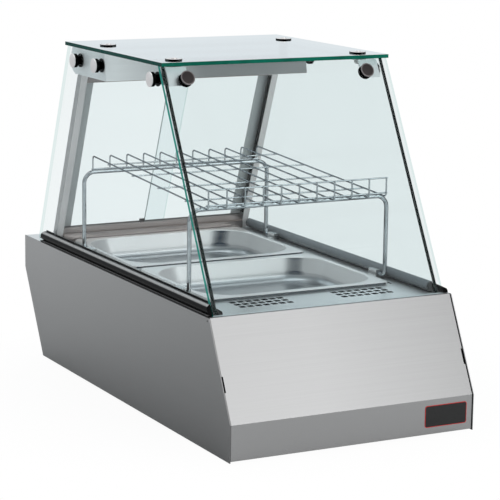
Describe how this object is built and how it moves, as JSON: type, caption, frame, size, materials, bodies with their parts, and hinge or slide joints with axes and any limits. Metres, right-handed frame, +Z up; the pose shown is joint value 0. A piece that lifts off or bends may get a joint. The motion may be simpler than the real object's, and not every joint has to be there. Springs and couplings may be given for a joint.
{
  "type": "heated display case",
  "caption": "Counter-top heated display case with a steel base, drop-in pans, a wire rack, leaning glass and sliding rear doors.",
  "frame": {"origin": "centre of the overall box, on the surface the feet stand on", "axes": "+Z up, -Y towards the customer and the leaning front glass, +Y towards the server, the doors and the controls, +X to the customer's right"},
  "size_m": [0.43, 0.833, 0.5764],
  "materials": {
    "brushed_sheet": "brushed along the sheet",
    "side_sheet": "brushed, darker by reflection",
    "polished_steel": "bright pressed steel",
    "chrome_wire": "bright plated wire",
    "black_profile": "satin black",
    "grey_profile": "satin dark grey, with a black end cap",
    "clear_glass": "clear, faintly green at the edges",
    "clamp_metal": "satin caps with black rubber pads",
    "foot_rubber": "matt",
    "black_plastic": "matt black",
    "amber_plastic": "glossy, lit from within when on",
    "brown_plastic": "dark brown",
    "grey_plastic": "matt grey",
    "heater_sheath": "heat-browned sheath"
  },
  "bodies": {
    "case": {"front_panel": "brushed_sheet", "back_panel": "brushed_sheet", "bottom_plate": "brushed_sheet", "deck": "brushed_sheet", "pan_divider": "brushed_sheet", "door_sill": "brushed_sheet", "top_track": "brushed_sheet", "top_beam": "brushed_sheet", "left_rear_post": "brushed_sheet", "right_rear_post": "brushed_sheet", "left_corner_bracket": "brushed_sheet", "right_corner_bracket": "brushed_sheet", "left_rack_clip_front": "brushed_sheet", "right_rack_clip_front": "brushed_sheet", "left_rack_clip_back": "brushed_sheet", "right_rack_clip_back": "brushed_sheet", "left_side_panel": "side_sheet", "right_side_panel": "side_sheet", "heated_well": "polished_steel", "rack_frame_front": "chrome_wire", "rack_frame_back": "chrome_wire", "rack_grid": "chrome_wire", "left_outer_rail": "black_profile", "right_outer_rail": "black_profile", "left_inner_rail": "black_profile", "right_inner_rail": "grey_profile", "left_side_glass": "clear_glass", "right_side_glass": "clear_glass", "front_glass": "clear_glass", "top_glass": "clear_glass", "left_side_clamp_front": "clamp_metal", "left_side_clamp_middle": "clamp_metal", "left_side_clamp_back": "clamp_metal", "left_front_clamp": "clamp_metal", "left_top_clamp_front": "clamp_metal", "left_top_clamp_back": "clamp_metal", "right_side_clamp_front": "clamp_metal", "right_side_clamp_middle": "clamp_metal", "right_side_clamp_back": "clamp_metal", "right_front_clamp": "clamp_metal", "right_top_clamp_front": "clamp_metal", "right_top_clamp_back": "clamp_metal", "left_foot_front": "foot_rubber", "right_foot_front": "foot_rubber", "left_foot_back": "foot_rubber", "right_foot_back": "foot_rubber", "thermostat_body": "black_plastic", "switch_housing": "black_plastic", "cable_gland": "black_plastic", "safety_cutout": "black_plastic", "pilot_lamp": "amber_plastic", "terminal_block": "grey_plastic", "heating_element": "heater_sheath"},
    "left_door": {"left_door": "clear_glass"},
    "right_door": {"right_door": "clear_glass", "right_door_glide": "brown_plastic"},
    "thermostat_knob": {"thermostat_knob": "black_plastic"},
    "rocker_switch": {"rocker_switch": "amber_plastic"},
    "front_pan": {"front_pan": "polished_steel"},
    "back_pan": {"back_pan": "polished_steel"}
  },
  "joints": [
    {"name": "left_door_slide", "type": "slide", "parent": "case", "child": "left_door", "axis": [1, 0, 0], "range_m": [0, 0.165]},
    {"name": "right_door_slide", "type": "slide", "parent": "case", "child": "right_door", "axis": [-1, 0, 0], "range_m": [0, 0.155]},
    {"name": "thermostat_turn", "type": "hinge", "parent": "case", "child": "thermostat_knob", "pos_m": [-0.105, 0.3985, 0.181], "axis": [0, -1, 0], "range_deg": [0, 270]},
    {"name": "rocker_tip", "type": "hinge", "parent": "case", "child": "rocker_switch", "pos_m": [-0.015, 0.396, 0.181], "axis": [1, 0, 0], "range_deg": [0, 20]},
    {"name": "front_pan_lift", "type": "slide", "parent": "case", "child": "front_pan", "axis": [0, 0, 1], "range_m": [0, 0.045]},
    {"name": "back_pan_lift", "type": "slide", "parent": "case", "child": "back_pan", "axis": [0, 0, 1], "range_m": [0, 0.03]}
  ]
}
